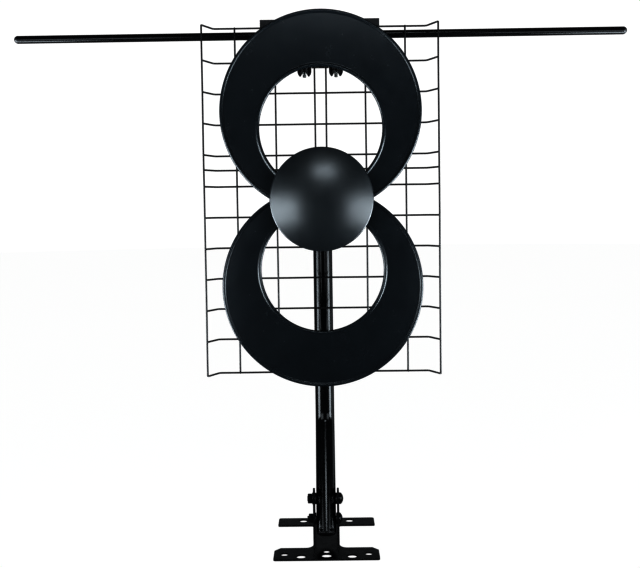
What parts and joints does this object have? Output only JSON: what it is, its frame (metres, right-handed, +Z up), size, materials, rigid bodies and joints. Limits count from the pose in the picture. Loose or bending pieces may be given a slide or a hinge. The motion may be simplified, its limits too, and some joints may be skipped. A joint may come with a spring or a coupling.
{
  "type": "television antenna",
  "caption": "Free-standing television antenna: two flat rings on a domed hub, a bent-wing wire reflector, a two-rod dipole and a J-shaped mast on a stamped foot.",
  "frame": {"origin": "on the foot's underside, below the mast's upright part", "axes": "+X to the right along the dipole, +Y to the rear, +Z up along the mast"},
  "size_m": [0.902, 0.199, 0.7698],
  "materials": {
    "black_steel": "black powder coat, satin",
    "mast_gloss": "glossy black paint",
    "ring_coat": "charcoal powder coat, satin",
    "hub_plastic": "charcoal moulded plastic, satin",
    "black_plastic": "black moulded plastic",
    "rubber": "soft black",
    "wire_black": "black coated wire",
    "zinc": "zinc plated",
    "brass": "machined",
    "board": "solder-masked circuit board"
  },
  "bodies": {
    "foot": {"foot_plate": "black_steel", "pivot_bolt": "black_steel", "pivot_nut": "black_steel", "pivot_spacers": "black_plastic"},
    "mast": {"mast_tube": "mast_gloss", "mast_top_cap": "black_plastic", "mast_end_plug": "black_plastic", "lock_bolt": "black_steel", "lock_nut": "black_steel", "lock_washers": "black_steel", "lock_spacers": "black_plastic"},
    "head": {"clamp_saddle": "hub_plastic", "u_bolts": "zinc", "u_bolt_washers": "zinc", "u_bolt_nuts": "zinc", "boom": "hub_plastic", "boom_screws": "zinc", "hub_rear_shell": "hub_plastic", "hub_front_cover": "hub_plastic", "hub_gasket": "rubber", "hub_screws": "zinc", "balun_board": "board", "feed_terminals": "brass", "feed_screws": "zinc", "hub_connector": "zinc", "hub_connector_nut": "zinc", "upper_ring": "ring_coat", "lower_ring": "ring_coat", "reflector_cross_wires": "wire_black", "reflector_upright_wires": "wire_black", "dipole_bracket": "black_plastic", "bracket_cover": "black_plastic", "cover_screws": "zinc", "matching_board": "board", "bracket_connectors": "zinc", "rod_sockets": "brass", "screw_inserts": "brass", "grid_jaw": "black_plastic", "jaw_screws": "zinc", "blank_label_tab": "zinc"},
    "left_wing_screw": {"left_wing_knob": "black_plastic", "left_wing_screw": "zinc"},
    "right_wing_screw": {"right_wing_knob": "black_plastic", "right_wing_screw": "zinc"},
    "left_rod": {"left_rod": "mast_gloss", "left_rod_tip": "black_plastic"},
    "right_rod": {"right_rod": "mast_gloss", "right_rod_tip": "black_plastic"}
  },
  "joints": [
    {"name": "mast_tilt", "type": "hinge", "parent": "foot", "child": "mast", "pos_m": [0, -0.0628, 0.03825], "axis": [1, 0, 0], "range_deg": [-30, 30]},
    {"name": "head_pan", "type": "hinge", "parent": "mast", "child": "head", "pos_m": [0, 0, 0.505], "axis": [0, 0, 1], "continuous": true},
    {"name": "left_wing_turn", "type": "hinge", "parent": "head", "child": "left_wing_screw", "pos_m": [-0.0233, -0.034, 0.702], "axis": [0, 0, 1], "continuous": true},
    {"name": "right_wing_turn", "type": "hinge", "parent": "head", "child": "right_wing_screw", "pos_m": [0.0233, -0.034, 0.702], "axis": [0, 0, 1], "continuous": true},
    {"name": "left_rod_turn", "type": "hinge", "parent": "head", "child": "left_rod", "pos_m": [-0.2, -0.034, 0.7492], "axis": [1, 0, 0], "continuous": true},
    {"name": "right_rod_turn", "type": "hinge", "parent": "head", "child": "right_rod", "pos_m": [0.2, -0.034, 0.7492], "axis": [1, 0, 0], "continuous": true}
  ]
}
